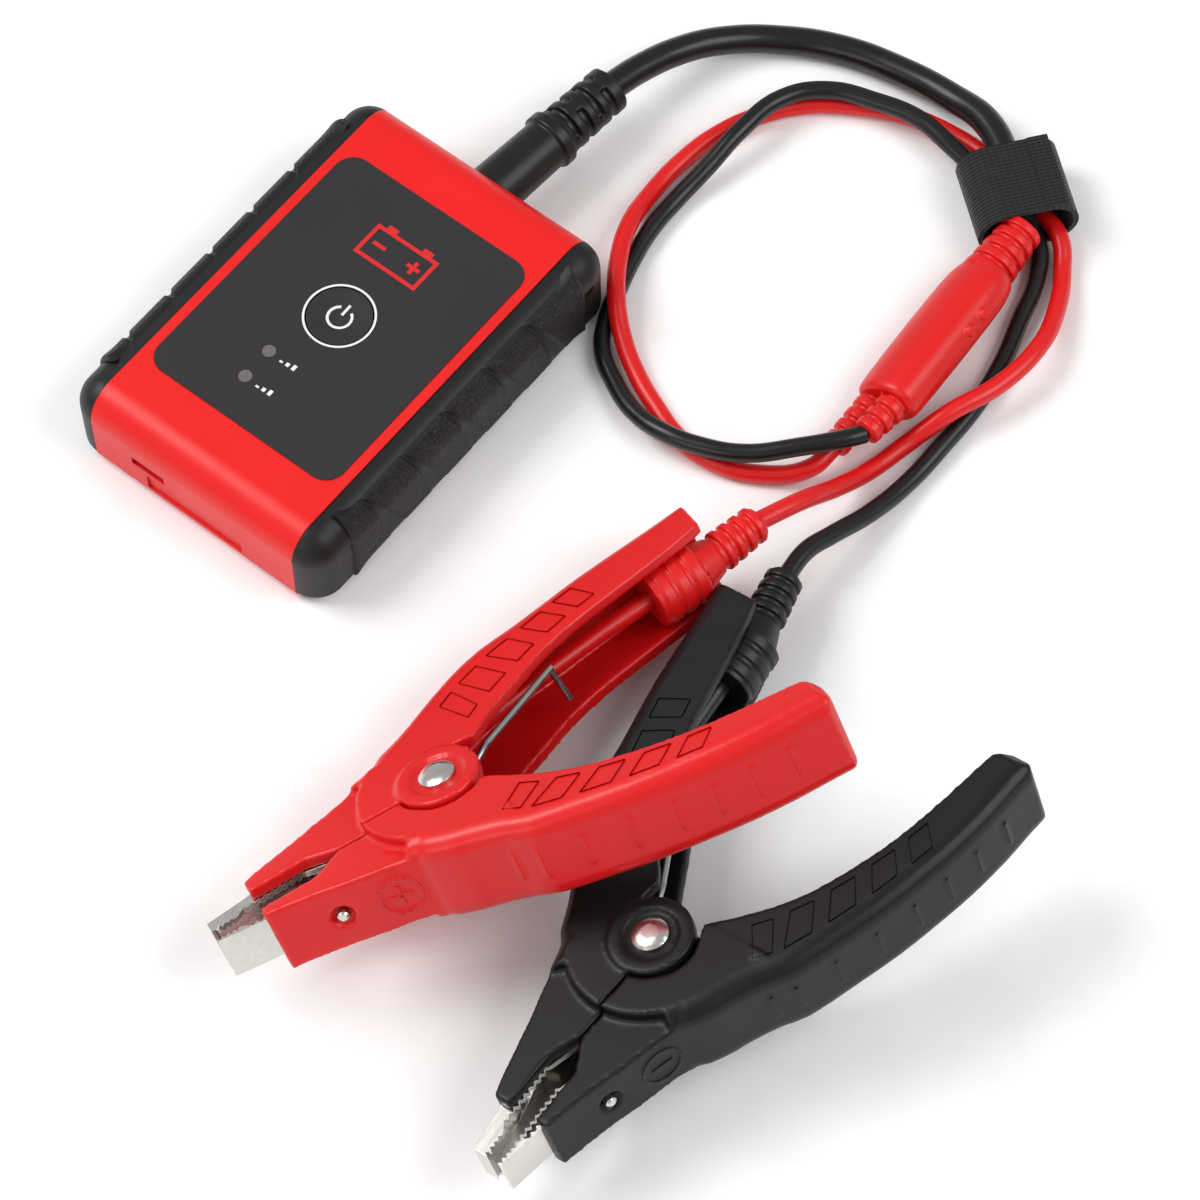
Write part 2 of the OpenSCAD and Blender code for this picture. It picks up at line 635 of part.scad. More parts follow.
module spring_coil() {
  for (i = [0 : 4]) translate([0, 0, 7.7 + i * 1.65])
    rotate_extrude() translate([4.5, 0]) circle(0.8, $fn = 24);
  bar([-6.3, 2.2, 14.3], [-8.5, 10.2, 14.5], 0.8);
  bar([-8.3, 9.5, 14.3], [-9.3, 13.8, 16.9], 0.78);
  bar([-9.2, 13.2, 16.6], [-21.6, 34.9, 17], 0.8);
  bar([-21.4, 34.4, 17.4], [-23.5, 36, 6], 0.78);
}

module spring_end() {
  bar([10.5, 9, 11], [26, 32.1, 11], 0.8);
  bar([25.2, 31.7, 11], [34, 29.6, 11], 0.78);
}

module boot_shape() {
  difference() {
    union() {
      bar([-33.8, 63, 11], [-35.2, 75.5, 11], 7);
      for (i = [0 : 2]) bar([-33.9 - i * 0.45, 64.5 + i * 4, 11], [-34.2 - i * 0.45, 67 + i * 4, 11], 7.4);
      bar([-35.2, 75.4, 11], [-36.3, 80.5, 11], 6, 4.6);
      bar([-36.2, 80, 11], [-39.3, 93.5, 11], 4.2, 3.6);
      for (i = [0 : 3]) bar([-36.6 - i * 0.7, 82 + i * 3, 11], [-37 - i * 0.7, 83.6 + i * 3, 11], 4.9 - i * 0.15);
    }
    bar([-33.5, 60, 11], [-34.9, 73, 11], lead_diameter / 2 + 0.02);
  }
}

module tail_shape() {
  cord([[-34.85, 72.5, 11], [-33.7, 62, 11], [-32.5, 50, 11], [-29.8, 36, 11], [-26.5, 22, 11], [-22.5, 9, 11],
        [-19, 0, 11], [-15, -8.5, 11], [-11.8, -14, 11]], lead_diameter / 2, 10);
}

module red_fixed_handle() {
  color(plastic_red) on_red() fixed_handle();
}

module red_moving_handle() {
  color(plastic_red) on_red() moving_handle(1);
}

module red_fixed_jaw() {
  color(nickel) on_red() fixed_jaw();
}

module red_moving_jaw() {
  color(nickel) on_red() moving_jaw();
}

module red_pivot_rivet() {
  color(nickel) on_red() pivot_rivet();
}

module red_spring() {
  color(steel) on_red() spring_coil();
}

module red_spring_leg() {
  color(steel) on_red() spring_end();
}

module red_cable_boot() {
  color(plastic_red) on_red() boot_shape();
}

module red_lead_tail() {
  color(plastic_red) on_red() tail_shape();
}

module red_fixed_jaw_rivet() {
  color(nickel) on_red() jaw_rivet(-1);
}

module red_moving_jaw_rivet() {
  color(nickel) on_red() jaw_rivet(1);
}

module black_fixed_handle() {
  color(plastic_black) on_black() fixed_handle();
}

module black_moving_handle() {
  color(plastic_black) on_black() moving_handle(-1);
}

module black_fixed_jaw() {
  color(nickel) on_black() fixed_jaw();
}

module black_moving_jaw() {
  color(nickel) on_black() moving_jaw();
}

module black_pivot_rivet() {
  color(nickel) on_black() pivot_rivet();
}

module black_spring() {
  color(steel) on_black() spring_coil();
}

module black_spring_leg() {
  color(steel) on_black() spring_end();
}

module black_cable_boot() {
  color(rubber_black) on_black() boot_shape();
}

module black_lead_tail() {
  color(rubber_black) on_black() tail_shape();
}

module black_fixed_jaw_rivet() {
  color(nickel) on_black() jaw_rivet(-1);
}

module black_moving_jaw_rivet() {
  color(nickel) on_black() jaw_rivet(1);
}

upper_shell();
lower_shell();
left_bumper();
right_bumper();
front_overlay();
power_button();
status_window();
power_window();
circuit_board();
tact_switch();
indicator_leds();
usb_socket();
wireless_module();
processor_chip();
load_transistors();
cable_terminals();
case_screws();
cable_gland();
cable_tail();
main_cable();
lead_splitter();
red_lead();
black_lead();
cable_strap();
red_fixed_handle();
red_moving_handle();
red_fixed_jaw();
red_moving_jaw();
red_pivot_rivet();
red_spring();
red_spring_leg();
red_cable_boot();
red_lead_tail();
red_fixed_jaw_rivet();
red_moving_jaw_rivet();
black_fixed_handle();
black_moving_handle();
black_fixed_jaw();
black_moving_jaw();
black_pivot_rivet();
black_spring();
black_spring_leg();
black_cable_boot();
black_lead_tail();
black_fixed_jaw_rivet();
black_moving_jaw_rivet();
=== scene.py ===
import math

import bmesh
import bpy
from mathutils import Matrix, Vector


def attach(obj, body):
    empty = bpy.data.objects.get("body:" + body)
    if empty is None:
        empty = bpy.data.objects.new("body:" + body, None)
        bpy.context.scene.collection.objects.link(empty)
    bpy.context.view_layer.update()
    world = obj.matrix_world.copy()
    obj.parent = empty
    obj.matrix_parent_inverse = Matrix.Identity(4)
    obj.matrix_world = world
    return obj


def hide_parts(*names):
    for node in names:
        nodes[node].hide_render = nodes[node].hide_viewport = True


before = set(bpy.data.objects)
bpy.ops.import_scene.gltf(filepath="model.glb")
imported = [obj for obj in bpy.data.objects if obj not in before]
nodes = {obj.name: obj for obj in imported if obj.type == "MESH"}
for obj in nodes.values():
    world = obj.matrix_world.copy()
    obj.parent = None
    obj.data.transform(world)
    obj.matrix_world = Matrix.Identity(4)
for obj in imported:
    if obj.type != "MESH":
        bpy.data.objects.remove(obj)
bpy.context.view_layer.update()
mm = 0.001

# camera, light and table

cameraSet = {"place": (0.40131, -0.39594, 0.90751), "turn": -39.525, "dip": 61.207, "roll": -1.283,
             "lens": 138.0, "sensor": 36.0}


def makeCamera():
    turn, dip, roll = (math.radians(cameraSet[k]) for k in ("turn", "dip", "roll"))
    look = Vector((math.sin(turn) * math.cos(dip), math.cos(turn) * math.cos(dip), -math.sin(dip)))
    right = look.cross(Vector((0, 0, 1))).normalized()
    up = right.cross(look)
    side = right * math.cos(roll) + up * math.sin(roll)
    top = up * math.cos(roll) - right * math.sin(roll)
    data = bpy.data.cameras.new("studioCamera")
    data.lens, data.sensor_width = cameraSet["lens"], cameraSet["sensor"]
    data.clip_start, data.clip_end = 0.01, 20
    camera = bpy.data.objects.new("studioCamera", data)
    bpy.context.collection.objects.link(camera)
    camera.matrix_world = Matrix.Translation(cameraSet["place"]) @ Matrix((side, top, -look)).transposed().to_4x4()
    bpy.context.scene.camera = camera


# each lamp has a place, a size and a power
lightSet = {"world": (1.0, 1.0, 1.0), "worldPower": 0.45, "aim": (0.06, 0, 0),
            "lamps": {"keyLight": ((-0.85, -0.35, 1.15), 0.8, 15.0),
                      "fillLight": ((0.95, 0.35, 1.0), 0.8, 9.0),
                      "rimLight": ((0.1, -1.2, 0.7), 0.7, 3.0)},
            "tableHalf": 4.0, "tableDrop": 0.1}


def areaLight(name, place, size, power):
    data = bpy.data.lights.new(name, "AREA")
    data.energy, data.size = power, size
    lamp = bpy.data.objects.new(name, data)
    bpy.context.collection.objects.link(lamp)
    lamp.location = place
    lamp.rotation_euler = (Vector(lightSet["aim"]) - Vector(place)).to_track_quat("-Z", "Y").to_euler()


def makeStudio():
    world = bpy.data.worlds.new("studio")
    bpy.context.scene.world = world
    world.use_nodes = True
    back = world.node_tree.nodes["Background"]
    back.inputs["Color"].default_value = (*lightSet["world"], 1)
    back.inputs["Strength"].default_value = lightSet["worldPower"]
    for name, (place, size, power) in lightSet["lamps"].items():
        areaLight(name, place, size, power)
    mesh = bpy.data.meshes.new("table")
    bm = bmesh.new()
    bmesh.ops.create_grid(bm, x_segments=2, y_segments=2, size=lightSet["tableHalf"])
    bmesh.ops.translate(bm, verts=bm.verts, vec=(0, 0, -lightSet["tableDrop"] * mm))
    bm.to_mesh(mesh)
    bm.free()
    table = bpy.data.objects.new("table", mesh)
    bpy.context.collection.objects.link(table)
    return table


# shader arithmetic

class Link:
    # a node output that adds, multiplies and subtracts like a number
    def __init__(self, finish, socket):
        self.finish = finish
        self.socket = socket

    def math(self, operation, first, second=0.0):
        return self.finish.add("Math", {"operation": operation}, {0: first, 1: second})

    def __add__(self, other):
        return self.math("ADD", self, other)

    __radd__ = __add__

    def __sub__(self, other):
        return self.math("SUBTRACT", self, other)

    def __rsub__(self, other):
        return self.math("SUBTRACT", other, self)

    def __mul__(self, other):
        return self.math("MULTIPLY", self, other)

    __rmul__ = __mul__


class Finish:
    # a material whose shader inputs are fed one by one
    def __init__(self, name, **fixed):
        self.material = bpy.data.materials.new(name)
        self.material.use_nodes = True
        self.tree = self.material.node_tree
        self.shader = self.tree.nodes["Principled BSDF"]
        for key, value in fixed.items():
            self.shader.inputs[key.replace("_", " ")].default_value = value

    def add(self, kind, settings=None, inputs=None, output=0):
        node = self.tree.nodes.new("ShaderNode" + kind)
        for key, value in (settings or {}).items():
            if key == "stops":
                while len(node.color_ramp.elements) < len(value):
                    node.color_ramp.elements.new(1.0)
                for stop, (place, shade) in zip(node.color_ramp.elements, value):
                    stop.position = place
                    stop.color = (*shade, 1) if isinstance(shade, tuple) else (shade, shade, shade, 1)
            else:
                setattr(node, key, value)
        for key, value in (inputs or {}).items():
            self.feed(node.inputs[key], value)
        return Link(self, node.outputs[output])

    def feed(self, socket, value):
        if isinstance(value, Link):
            self.tree.links.new(value.socket, socket)
        else:
            socket.default_value = value

    def place(self):
        return self.add("TexCoord", output="Object")

    def noise(self, scale, detail=3.0, rough=0.5, vector=None):
        return self.add("TexNoise", None, {"Vector": vector or self.place(), "Scale": scale, "Detail": detail,
                                           "Roughness": rough})

    def between(self, low, high, amount):
        return low + (high - low) * amount

    def shades(self, amount, stops):
        return self.add("ValToRGB", {"stops": stops}, {"Fac": amount})

    def relief(self, height, strength, depth, soft=0.0):
        inputs = {"Height": height, "Strength": strength, "Distance": depth}
        if soft:
            inputs["Normal"] = self.add("Bevel", {"samples": 6}, {"Radius": soft})
        self.feed(self.shader.inputs["Normal"], self.add("Bump", None, inputs))

    def put(self, name, value):
        self.feed(self.shader.inputs[name], value)


def tinted(color, amount):
    return tuple(min(1.0, c * amount) for c in color)


def plasticFinish(name, color, rough=0.34, grain=0.00002, grainScale=2600, coat=0.0, soft=0.0003, specular=0.5):
    f = Finish(name, Coat_Weight=coat, Coat_Roughness=0.2, Specular_IOR_Level=specular)
    cloud = f.noise(35, 3)
    f.put("Base Color", f.shades(cloud, [(0.3, tinted(color, 0.96)), (0.7, tinted(color, 1.03))]))
    f.put("Roughness", f.between(rough - 0.05, rough + 0.07, f.noise(160, 4)))
    f.relief(f.noise(grainScale, 2), 0.35, grain, soft)
    return f.material


def metalFinish(name, color, rough=0.2, soft=0.00015):
    f = Finish(name, Metallic=1.0)
    streak = f.add("Mapping", None, {"Vector": f.place(), "Scale": (900, 120, 900)})
    lines = f.noise(1.0, 4, 0.6, streak)
    f.put("Base Color", f.shades(f.noise(90, 3), [(0.3, tinted(color, 0.88)), (0.7, color)]))
    f.put("Roughness", f.between(rough - 0.06, rough + 0.16, lines))
    f.relief(lines, 0.2, 0.00002, soft)
    return f.material


def gripFinish():
    f = Finish("gripRubber", Specular_IOR_Level=0.3)
    cells = f.add("TexVoronoi", {"feature": "DISTANCE_TO_EDGE"}, {"Vector": f.place(), "Scale": 1050.0}, "Distance")
    f.put("Base Color", f.shades(f.noise(60, 3), [(0.3, (0.006, 0.006, 0.0065)), (0.75, (0.011, 0.011, 0.012))]))
    f.put("Roughness", f.between(0.42, 0.6, f.noise(300, 3)))
    padded = f.add("Attribute", {"attribute_name": "pad"}, None, "Fac")
    f.relief(cells * padded, 1.0, 0.0005)
    return f.material


def strapFinish():
    f = Finish("strapFabric", Sheen_Weight=0.25, Sheen_Roughness=0.4, Specular_IOR_Level=0.25)
    turned = f.add("Mapping", None, {"Vector": f.place(), "Rotation": (0, 0, math.radians(38.5))})
    across = f.add("TexWave", {"wave_type": "BANDS", "bands_direction": "X"},
                   {"Vector": turned, "Scale": 330.0, "Distortion": 0.6}, "Fac")
    along = f.add("TexWave", {"wave_type": "BANDS", "bands_direction": "Y"},
                  {"Vector": turned, "Scale": 210.0, "Distortion": 0.8}, "Fac")
    weave = across * 0.7 + along * 0.3
    f.put("Base Color", f.shades(weave, [(0.2, (0.004, 0.004, 0.0045)), (0.9, (0.020, 0.020, 0.022))]))
    f.put("Roughness", f.between(0.6, 0.85, f.noise(400, 3)))
    f.relief(weave, 0.8, 0.0003)
    return f.material


def boardFinish():
    f = Finish("solderMask", Coat_Weight=0.3)
    tracks = f.add("TexBrick", {"offset": 0.5}, {"Vector": f.place(), "Scale": 160.0, "Color1": (0.01, 0.12, 0.05, 1),
                   "Color2": (0.012, 0.15, 0.06, 1), "Mortar": (0.02, 0.2, 0.09, 1), "Mortar Size": 0.03}, "Color")
    f.put("Base Color", tracks)
    f.put("Roughness", f.between(0.3, 0.45, f.noise(300, 2)))
    return f.material


red = (0.70, 0.007, 0.006)
redRubber = (0.66, 0.006, 0.006)
nearBlack = (0.006, 0.006, 0.0062)
finishes = {
    "shell": plasticFinish("shellPlastic", red, 0.36, grain=0.00003, grainScale=3000, specular=0.36),
    "bumper": plasticFinish("bumperRubber", (0.008, 0.008, 0.0085), 0.44, grain=0.00003, grainScale=1800,
                            specular=0.3),
    "grip": gripFinish(),
    "film": plasticFinish("overlayFilm", (0.026, 0.0235, 0.0255), 0.55, grain=0.00001, grainScale=4000,
                          soft=0.0001, specular=0.2),
    "white": plasticFinish("printWhite", (0.75, 0.74, 0.73), 0.5, grain=0.000005, grainScale=3000, soft=0),
    "printRed": plasticFinish("printRed", (0.60, 0.014, 0.016), 0.5, grain=0.000005, grainScale=3000, soft=0,
                              specular=0.3),
    "lens": plasticFinish("lensPlastic", (0.13, 0.115, 0.115), 0.3, grain=0.000005, grainScale=3000, coat=0.2,
                          soft=0.0001),
    "jacket": plasticFinish("cableJacket", nearBlack, 0.30, grainScale=1500, soft=0, specular=0.38),
    "redJacket": plasticFinish("leadJacketRed", redRubber, 0.33, grainScale=1500, soft=0, specular=0.4),
    "moulded": plasticFinish("mouldedRubber", nearBlack, 0.38, grainScale=1800, soft=0.0002, specular=0.36),
    "redMoulded": plasticFinish("mouldedRubberRed", redRubber, 0.36, grainScale=1800, soft=0.0002,
                                specular=0.4),
    "redClamp": plasticFinish("clampPlasticRed", (0.66, 0.006, 0.007), 0.33, grainScale=2200, specular=0.42),
    "blackClamp": plasticFinish("clampPlasticBlack", (0.0065, 0.0065, 0.007), 0.38, grain=0.00003,
                                grainScale=2200, specular=0.27),
    "nickel": metalFinish("nickelPlate", (0.72, 0.70, 0.66), 0.2),
    "wire": metalFinish("springWire", (0.45, 0.44, 0.43), 0.3),
    "steel": metalFinish("screwSteel", (0.55, 0.55, 0.56), 0.3),
    "brass": metalFinish("terminalBrass", (0.75, 0.55, 0.25), 0.3),
    "dark": plasticFinish("chipPlastic", (0.02, 0.02, 0.02), 0.5),
    "led": plasticFinish("ledCase", (0.7, 0.68, 0.6), 0.3),
    "board": boardFinish(),
    "strap": strapFinish(),
    "paper": plasticFinish("tablePaper", (0.92, 0.92, 0.92), 0.75, grain=0.00001, grainScale=500, soft=0,
                           specular=0.1),
}
print("stage: finishes made", len(finishes))

makeCamera()
makeStudio().data.materials.append(finishes["paper"])
bpy.context.scene.view_settings.view_transform = "Standard"
print("stage: camera and studio made")

# helpers


def publish(bm, name, body, finish, hides=(), angle=32, merge=2e-6):
    if merge:
        bmesh.ops.remove_doubles(bm, verts=bm.verts, dist=merge)
    mesh = bpy.data.meshes.new(name)
    bm.to_mesh(mesh)
    bm.free()
    mesh.shade_smooth()
    mesh.set_sharp_from_angle(angle=math.radians(angle))
    piece = bpy.data.objects.new(name, mesh)
    bpy.context.collection.objects.link(piece)
    mesh.materials.append(finishes[finish])
    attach(piece, body)
    if hides:
        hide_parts(*hides)
    return piece


def evenShade(piece):
    # broad flats keep their own normals beside small fillets
    change = piece.modifiers.new("evenShade", "WEIGHTED_NORMAL")
    change.keep_sharp, change.weight = True, 100
    return piece


def refined(node, name, body, finish, angle=32, flat=1.0):
    # a merged copy of a CAD node with clean faces and smooth curves
    bm = bmesh.new()
    bm.from_mesh(nodes[node].data)
    bmesh.ops.remove_doubles(bm, verts=bm.verts, dist=3e-6)
    if flat:
        bmesh.ops.dissolve_limit(bm, angle_limit=math.radians(flat), verts=bm.verts, edges=bm.edges)
    return evenShade(publish(bm, name, body, finish, (node,), angle, 0))


def remeshed(bm, voxel):
    # rebuilds a closed mesh in even quads
    step = bpy.data.objects.new("remeshStep", bpy.data.meshes.new("remeshStep"))
    bm.to_mesh(step.data)
    bpy.context.collection.objects.link(step)
    change = step.modifiers.new("even", "REMESH")
    change.mode, change.voxel_size, change.adaptivity = "VOXEL", voxel, 0.0
    done = step.evaluated_get(bpy.context.evaluated_depsgraph_get())
    bm.clear()
    bm.from_mesh(done.data)
    data = step.data
    bpy.data.objects.remove(step)
    bpy.data.meshes.remove(data)


def eased(bm, rounds):
    for _ in range(rounds):
        bmesh.ops.smooth_vert(bm, verts=bm.verts, factor=0.5, use_axis_x=True, use_axis_y=True, use_axis_z=True)


def moulded(node, name, body, finish, voxel=0.5, rounds=3, trim=(), cheeks=None):
    # a CAD node's copy with its edges eased, as a mould leaves them
    bm = bmesh.new()
    bm.from_mesh(nodes[node].data)
    bmesh.ops.remove_doubles(bm, verts=bm.verts, dist=3e-6)
    for spot, normal in trim:
        cut = bmesh.ops.bisect_plane(bm, geom=[*bm.verts, *bm.edges, *bm.faces], plane_co=spot,
                                     plane_no=normal, clear_outer=True)["geom_cut"]
        bmesh.ops.holes_fill(bm, edges=[e for e in cut if isinstance(e, bmesh.types.BMEdge)])
    remeshed(bm, voxel * mm)
    eased(bm, rounds)
    if cheeks:
        flatCheeks(bm, cheeks)
    return publish(bm, name, body, finish, (node,), 70, 0)


def rod(bm, a, b, radius, radiusEnd=None, segments=20):
    a, b = Vector(a), Vector(b)
    axis = b - a
    turn = axis.to_track_quat("Z", "Y").to_matrix().to_4x4()
    return bmesh.ops.create_cone(bm, cap_ends=True, segments=segments, radius1=radius,
                                 radius2=radius if radiusEnd is None else radiusEnd, depth=axis.length,
                                 matrix=Matrix.Translation((a + b) / 2) @ turn)["verts"]


def boxed(bm, low, high):
    made = bmesh.ops.create_cube(bm, size=1.0)["verts"]
    low, high = Vector(low), Vector(high)
    bmesh.ops.scale(bm, vec=high - low, verts=made)
    bmesh.ops.translate(bm, vec=(low + high) / 2, verts=made)
    return made


# cords

cordSet = {
    "main": [(4, 93.5, 12), (5.5, 103, 10.5), (9, 115, 8), (14, 124, 6), (24, 134, 4), (37, 141, 3.7),
             (52, 144.5, 4), (67, 145, 5.4), (79, 142.5, 8.3), (91, 134.5, 9.7), (103.6, 123.2, 9.4)],
    "black": [(108.2, 55, 10.7), (105.5, 51, 11), (98.5, 43.6, 10), (89, 35.5, 8), (79, 31, 7.1),
              (70, 29.3, 6.2), (61, 30.5, 4), (52, 34.5, 2.5), (44, 40, 2.4), (39.8, 47, 2.4),
              (36.6, 55.5, 2.4), (34, 64.5, 2.4), (32.4, 73, 2.4), (32, 83, 2.4), (33, 94, 4.6),
              (33.8, 105.5, 7.2), (36, 119, 7.2), (43, 127.5, 7), (54, 132, 7), (65, 134.3, 6.9),
              (74, 133.5, 6), (82.4, 132.5, 4.4), (94.5, 128.7, 3.4), (106.7, 125, 3.4), (112, 117, 2.6),
              (115.4, 106, 2.4), (119, 94, 2.4), (121, 81, 2.4), (121.3, 68, 2.4), (121, 55, 2.5),
              (119.8, 42, 5), (117.6, 30, 9), (116.3, 22, 11.3), (116.99, 13.93, 12.06)],
    "red": [(103, 50.5, 5.3), (101.6, 43.4, 4), (93.2, 36, 2.4), (83.2, 32, 2.4), (73.2, 32, 2.4),
            (63, 35.5, 2.4), (54.5, 39.5, 2.6), (46.5, 44.5, 4.4), (39.5, 51, 7), (33.5, 59.5, 7.3),
            (29, 69, 5.8), (26.3, 81, 2.6), (26.3, 92.7, 2.4), (28.5, 104.6, 2.4), (33, 114.6, 2.4),
            (40.5, 124.2, 2.4), (50, 131, 2.4), (60, 135.8, 2.4), (72, 138.2, 2.4), (85.4, 137.4, 3.1),
            (97.5, 133.2, 3.4), (109.8, 129, 4.6), (115.5, 122.5, 3), (121, 112.5, 4.5), (124.6, 100, 7.2),
            (123.5, 86, 7.5), (118.8, 73, 7), (114.8, 62, 3.2), (112.6, 51.5, 3.6), (110.8, 41, 8.2),
            (108.6, 30, 14.6), (105.3, 18.82, 17.28)],
    "mainWidth": 7.0, "leadWidth": 4.4,
}


def cordCurve(name, route, width, finish, node):
    data = bpy.data.curves.new(name, "CURVE")
    data.dimensions = "3D"
    data.bevel_depth = width * mm / 2
    data.bevel_resolution = 5
    data.resolution_u = 10
    data.use_fill_caps = True
    spline = data.splines.new("BEZIER")
    spline.bezier_points.add(len(route) - 1)
    for point, place in zip(spline.bezier_points, route):
        point.co = Vector(place) * mm
        point.handle_left_type = point.handle_right_type = "AUTO"
    piece = bpy.data.objects.new(name, data)
    bpy.context.collection.objects.link(piece)
    data.materials.append(finishes[finish])
    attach(piece, "tester")
    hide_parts(node)
    return piece


mainCable = cordCurve("mainCable", cordSet["main"], cordSet["mainWidth"], "jacket", "main_cable")
blackLead = cordCurve("blackLead", cordSet["black"], cordSet["leadWidth"], "jacket", "black_lead")
redLead = cordCurve("redLead", cordSet["red"], cordSet["leadWidth"], "redJacket", "red_lead")
print("stage: cords made")

# tester

testerSet = {"seamX": 29.8, "halfLength": 53.0, "panelTop": 24.0, "ink": (-0.01, 0.03)}


def arcBand(bm, centre, inner, outer, start, sweep, low, high, steps=48):
    # a flat band bent round a centre, by spinning its section
    corners = [(inner, low), (outer, low), (outer, high), (inner, high)]
    turn = Matrix.Rotation(start, 3, "Z")
    base = Vector((centre[0], centre[1], 0))
    verts = [bm.verts.new(base + turn @ Vector((r, 0, z))) for r, z in corners]
    face = bm.faces.new(verts)
    full = abs(sweep - math.tau) < 1e-6
    bmesh.ops.spin(bm, geom=[face, *face.edges, *verts], cent=base, axis=(0, 0, 1), angle=sweep, steps=steps,
                   use_merge=full, use_duplicate=False)
    bmesh.ops.recalc_face_normals(bm, faces=bm.faces)


def makeShells():
    refined("upper_shell", "upperShell", "tester", "shell", 30)
    refined("lower_shell", "lowerShell", "tester", "shell", 30)


ringSet = {"at": (0.0, -0.2), "radii": (8.02, 8.55), "sleeve": (7.92, 8.06), "sleeveHeights": (20.0, 23.6),
           "steps": 96}


def makeSleeve():
    # a dark sleeve in the button's hole
    centre = [v * mm for v in ringSet["at"]]
    inner, outer = (v * mm for v in ringSet["sleeve"])
    low, high = (v * mm for v in ringSet["sleeveHeights"])
    bm = bmesh.new()
    arcBand(bm, centre, inner, outer, 0, math.tau, low, high, ringSet["steps"])
    publish(bm, "buttonSleeve", "tester", "film", (), 40)


bumperSet = {"width": 7.4, "height": 23.4, "endRound": 7.4, "footRound": 3.5, "inward": 100.0, "steps": 12}


def cutAlong(bm, axis, places):
    normal = [0.0, 0.0, 0.0]
    normal[axis] = 1.0
    for place in places:
        spot = [0.0, 0.0, 0.0]
        spot[axis] = place
        bmesh.ops.bisect_plane(bm, geom=[*bm.verts, *bm.edges, *bm.faces], plane_co=spot,
                               plane_no=normal, dist=1e-7)


def makeBumpers():
    b = bumperSet
    y, z, r, foot = testerSet["halfLength"] * mm, b["height"] * mm, b["endRound"] * mm, b["footRound"] * mm
    x0, x1 = testerSet["seamX"] * mm, (testerSet["seamX"] + b["width"]) * mm
    fan = [math.tan(math.radians(45 * k / b["steps"])) for k in range(b["steps"])]
    for side, name, node in ((1, "rightBumper", "right_bumper"), (-1, "leftBumper", "left_bumper")):
        bm = bmesh.new()
        boxed(bm, (x0, -y, 0), (x1, y, z))
        low, high = Vector((x0 - b["inward"] * mm, r - y, foot)), Vector((x1 - r, y - r, z - r))
        cutAlong(bm, 0, [high.x + r * k for k in fan])
        cutAlong(bm, 1, [high.y + r * k for k in fan] + [low.y - r * k for k in fan])
        cutAlong(bm, 2, [high.z + r * k for k in fan] + [low.z - foot * k for k in fan])
        # every point moves out from the box's core onto its rounded skin
        for v in bm.verts:
            core = Vector([min(max(v.co[i], low[i]), high[i]) for i in range(3)])
            depth = r if v.co.z > low.z else foot
            reach = Vector(((v.co.x - core.x) / r, (v.co.y - core.y) / r, (v.co.z - core.z) / depth))
            if reach.length > 0:
                reach.normalize()
            v.co = core + Vector((reach.x * r, reach.y * r, reach.z * depth))
        bmesh.ops.scale(bm, vec=(side, 1, 1), verts=bm.verts)
        bmesh.ops.recalc_face_normals(bm, faces=bm.faces)
        publish(bm, name, "tester", "bumper", (node,), 65)
        makeGrip(side, name[:-6] + "Grip", x1, z)


gripSet = {"from": -41.0, "to": 42.0, "columns": 220, "rows": 40, "topShare": 0.45, "topSweep": 60,
           "across": 18.0, "footGap": 0.2, "notches": (-30.0, -15.5, -1.0, 13.5, 28.0), "lean": 8.0,
           "notchWidth": (0.35, 2.3), "notchTaper": 0.8, "notchSlope": (0.55, 0.6), "rise": 0.75, "base": 0.08,
           "sunk": 0.03, "edgeRound": 1.3, "cornerReach": 6.0, "cornerPull": 4.0, "skirt": (1.2, 0.2)}


